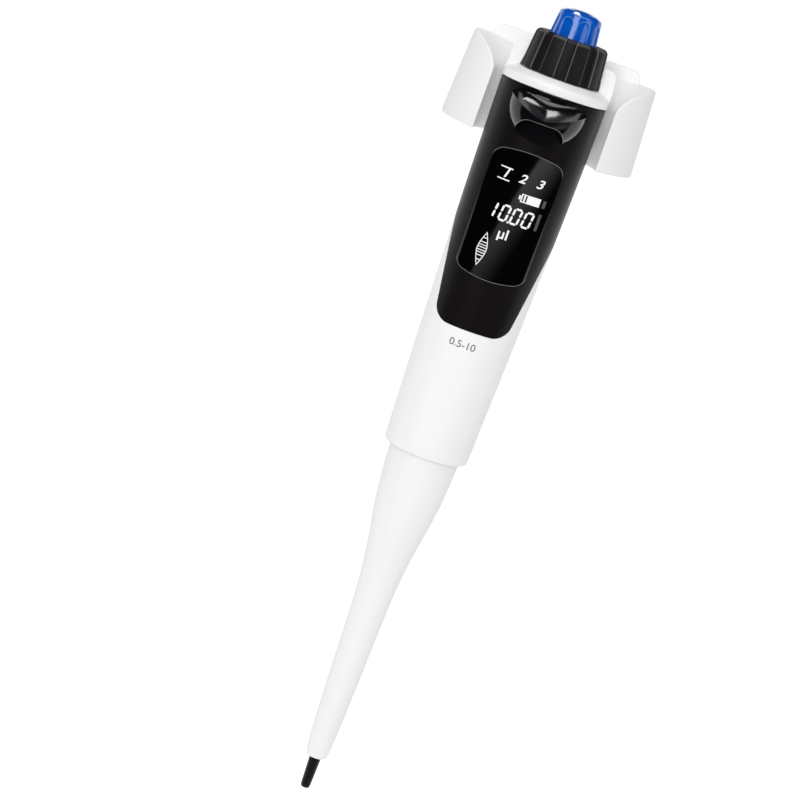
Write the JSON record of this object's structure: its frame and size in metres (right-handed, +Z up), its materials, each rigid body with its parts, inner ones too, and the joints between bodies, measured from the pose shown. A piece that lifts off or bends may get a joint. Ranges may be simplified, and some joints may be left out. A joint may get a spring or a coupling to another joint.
{
  "type": "electronic pipette",
  "caption": "Hand-held electronic pipette with operate button, setting knob, display, ejector trigger and tapering sleeve over a tip cone, hanging in a white wall holder.",
  "frame": {"origin": "middle of the holder's wall pad, on its rear face", "axes": "+Z up along the pipette's axis, +Y out of the wall pad towards the wall, front of the pipette towards -Y"},
  "size_m": [0.0652, 0.0563, 0.27],
  "materials": {
    "white_shell": "satin white",
    "white_holder": "satin white",
    "black_panel": "satin black",
    "black_gloss": "gloss black",
    "black_lens": "polished black",
    "blue_button": "gloss blue",
    "black_cone": "satin black",
    "steel": "bright",
    "brass": "turned",
    "grey_plastic": "moulded",
    "natural_plastic": "moulded",
    "board_green": "board",
    "cell_wrap": "shrink wrap",
    "seal_rubber": "moulded",
    "magnet": "sintered",
    "foam_pad": "foam"
  },
  "bodies": {
    "holder": {"holder_bracket": "white_holder", "wall_pad": "foam_pad"},
    "pipette": {"main_housing": "white_shell", "front_panel": "black_panel", "display_lens": "black_lens", "display_module": "grey_plastic", "main_board": "board_green", "switch_board": "board_green", "button_switch": "grey_plastic", "knob_sensor_ring": "board_green", "cell": "cell_wrap", "charge_socket": "steel", "top_cap": "white_shell", "knob_retaining_ring": "steel", "finger_hook": "white_shell", "button_spring": "steel", "ejector_spring": "steel", "barrel": "natural_plastic", "tip_cone": "black_cone", "piston_seal": "seal_rubber", "seal_retainer": "brass", "guide_rod_left": "steel", "guide_rod_right": "steel", "motor": "steel", "chassis": "grey_plastic", "motor_screw_1": "steel", "motor_screw_2": "steel", "motor_screw_3": "steel"},
    "button": {"operate_button": "blue_button", "button_stem": "natural_plastic"},
    "knob": {"setting_knob": "black_panel", "knob_magnet_ring": "magnet"},
    "ejector": {"ejector_trigger": "black_gloss", "ejector_slider": "natural_plastic", "ejector_rod": "steel", "ejector_collar": "natural_plastic", "ejector_sleeve": "white_shell"},
    "screw": {"lead_screw": "steel"},
    "drive": {"drive_nut": "brass", "piston_carrier": "natural_plastic", "piston": "steel"}
  },
  "joints": [
    {"name": "lift_off", "type": "slide", "parent": "holder", "child": "pipette", "axis": [0, 0, 1], "range_m": [0, 0.04]},
    {"name": "button_press", "type": "slide", "parent": "pipette", "child": "button", "axis": [0, 0, -1], "range_m": [0, 0.002], "stiffness_N_per_m": 500, "springref_m": -0.003, "deforming": ["button_spring"]},
    {"name": "knob_turn", "type": "hinge", "parent": "pipette", "child": "knob", "pos_m": [0, -0.03, 0.017], "axis": [0, 0, 1], "continuous": true},
    {"name": "eject", "type": "slide", "parent": "pipette", "child": "ejector", "axis": [0, 0, -1], "range_m": [0, 0.006], "stiffness_N_per_m": 700, "springref_m": -0.004, "deforming": ["ejector_spring"]},
    {"name": "piston_slide", "type": "slide", "parent": "pipette", "child": "drive", "axis": [0, 0, 1], "range_m": [0, 0.0127]},
    {"name": "screw_turn", "type": "hinge", "parent": "pipette", "child": "screw", "pos_m": [0, -0.03, -0.08], "axis": [0, 0, 1], "range_deg": [0, 2287]}
  ],
  "couplings": [
    {"joint": "screw_turn", "follows": "piston_slide", "rad_per_m": 3141.6}
  ]
}
